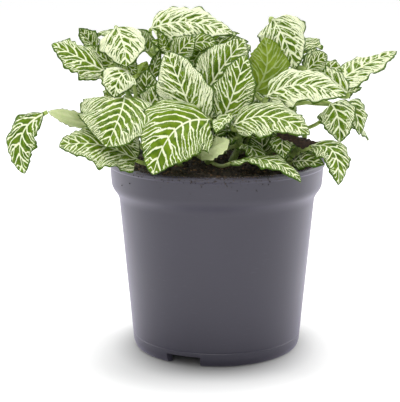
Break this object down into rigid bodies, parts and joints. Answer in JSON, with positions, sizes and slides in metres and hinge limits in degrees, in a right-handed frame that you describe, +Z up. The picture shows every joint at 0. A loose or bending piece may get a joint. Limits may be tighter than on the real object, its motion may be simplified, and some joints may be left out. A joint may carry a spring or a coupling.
{
  "type": "potted nerve plant",
  "caption": "White-veined nerve plant in a round dark grey nursery pot with a raised band, soil, branching shoots and ruffled leaves.",
  "frame": {"origin": "on the pot's axis at the surface that it stands on", "axes": "+Z up along the pot's axis, -Y to the front, +X to the viewer's right"},
  "size_m": [0.2131, 0.1358, 0.1881],
  "materials": {
    "pot_plastic": "satin moulded polypropylene, dark violet grey",
    "soil": "dark damp peat with brown crumbs",
    "shoot": "green, finely hairy shoot",
    "leaf": "green leaf with a dense cream-white vein net"
  },
  "bodies": {
    "root": {"leaf_back_high": "leaf", "leaf_back_left_high": "leaf", "leaf_back_left_low": "leaf", "leaf_back_low": "leaf", "leaf_back_right_high": "leaf", "leaf_back_right_low": "leaf", "leaf_back_rim": "leaf", "leaf_behind_upright": "leaf", "leaf_centre_pale": "leaf", "leaf_centre_upright": "leaf", "leaf_centre_young": "leaf", "leaf_far_left": "leaf", "leaf_far_left_neck": "leaf", "leaf_far_right": "leaf", "leaf_front_big": "leaf", "leaf_front_right": "leaf", "leaf_front_upright": "leaf", "leaf_left_back_top": "leaf", "leaf_left_behind": "leaf", "leaf_left_curl": "leaf", "leaf_left_front": "leaf", "leaf_left_inner": "leaf", "leaf_left_mid": "leaf", "leaf_left_side_low": "leaf", "leaf_left_top": "leaf", "leaf_low_left": "leaf", "leaf_low_ruffled": "leaf", "leaf_low_shaded": "leaf", "leaf_over_rim": "leaf", "leaf_right_back_mid": "leaf", "leaf_right_cream": "leaf", "leaf_right_droop": "leaf", "leaf_right_hanging": "leaf", "leaf_right_lobe": "leaf", "leaf_right_side_low": "leaf", "leaf_right_small": "leaf", "leaf_right_small_back": "leaf", "leaf_right_top": "leaf", "leaf_right_top_low": "leaf", "leaf_right_underside": "leaf", "leaf_shaded_fold": "leaf", "leaf_shaded_low": "leaf", "leaf_top_bud": "leaf", "leaf_top_centre": "leaf", "leaf_top_fill": "leaf", "leaf_top_inner": "leaf", "leaf_top_left": "leaf", "leaf_top_wide": "leaf", "leaf_top_young": "leaf", "leaf_upper_left": "leaf", "pot": "pot_plastic", "shoot_back": "shoot", "shoot_centre": "shoot", "shoot_front": "shoot", "shoot_left": "shoot", "shoot_left_back": "shoot", "shoot_low_right": "shoot", "shoot_right": "shoot", "shoot_right_back": "shoot", "soil": "soil"}
  },
  "joints": []
}
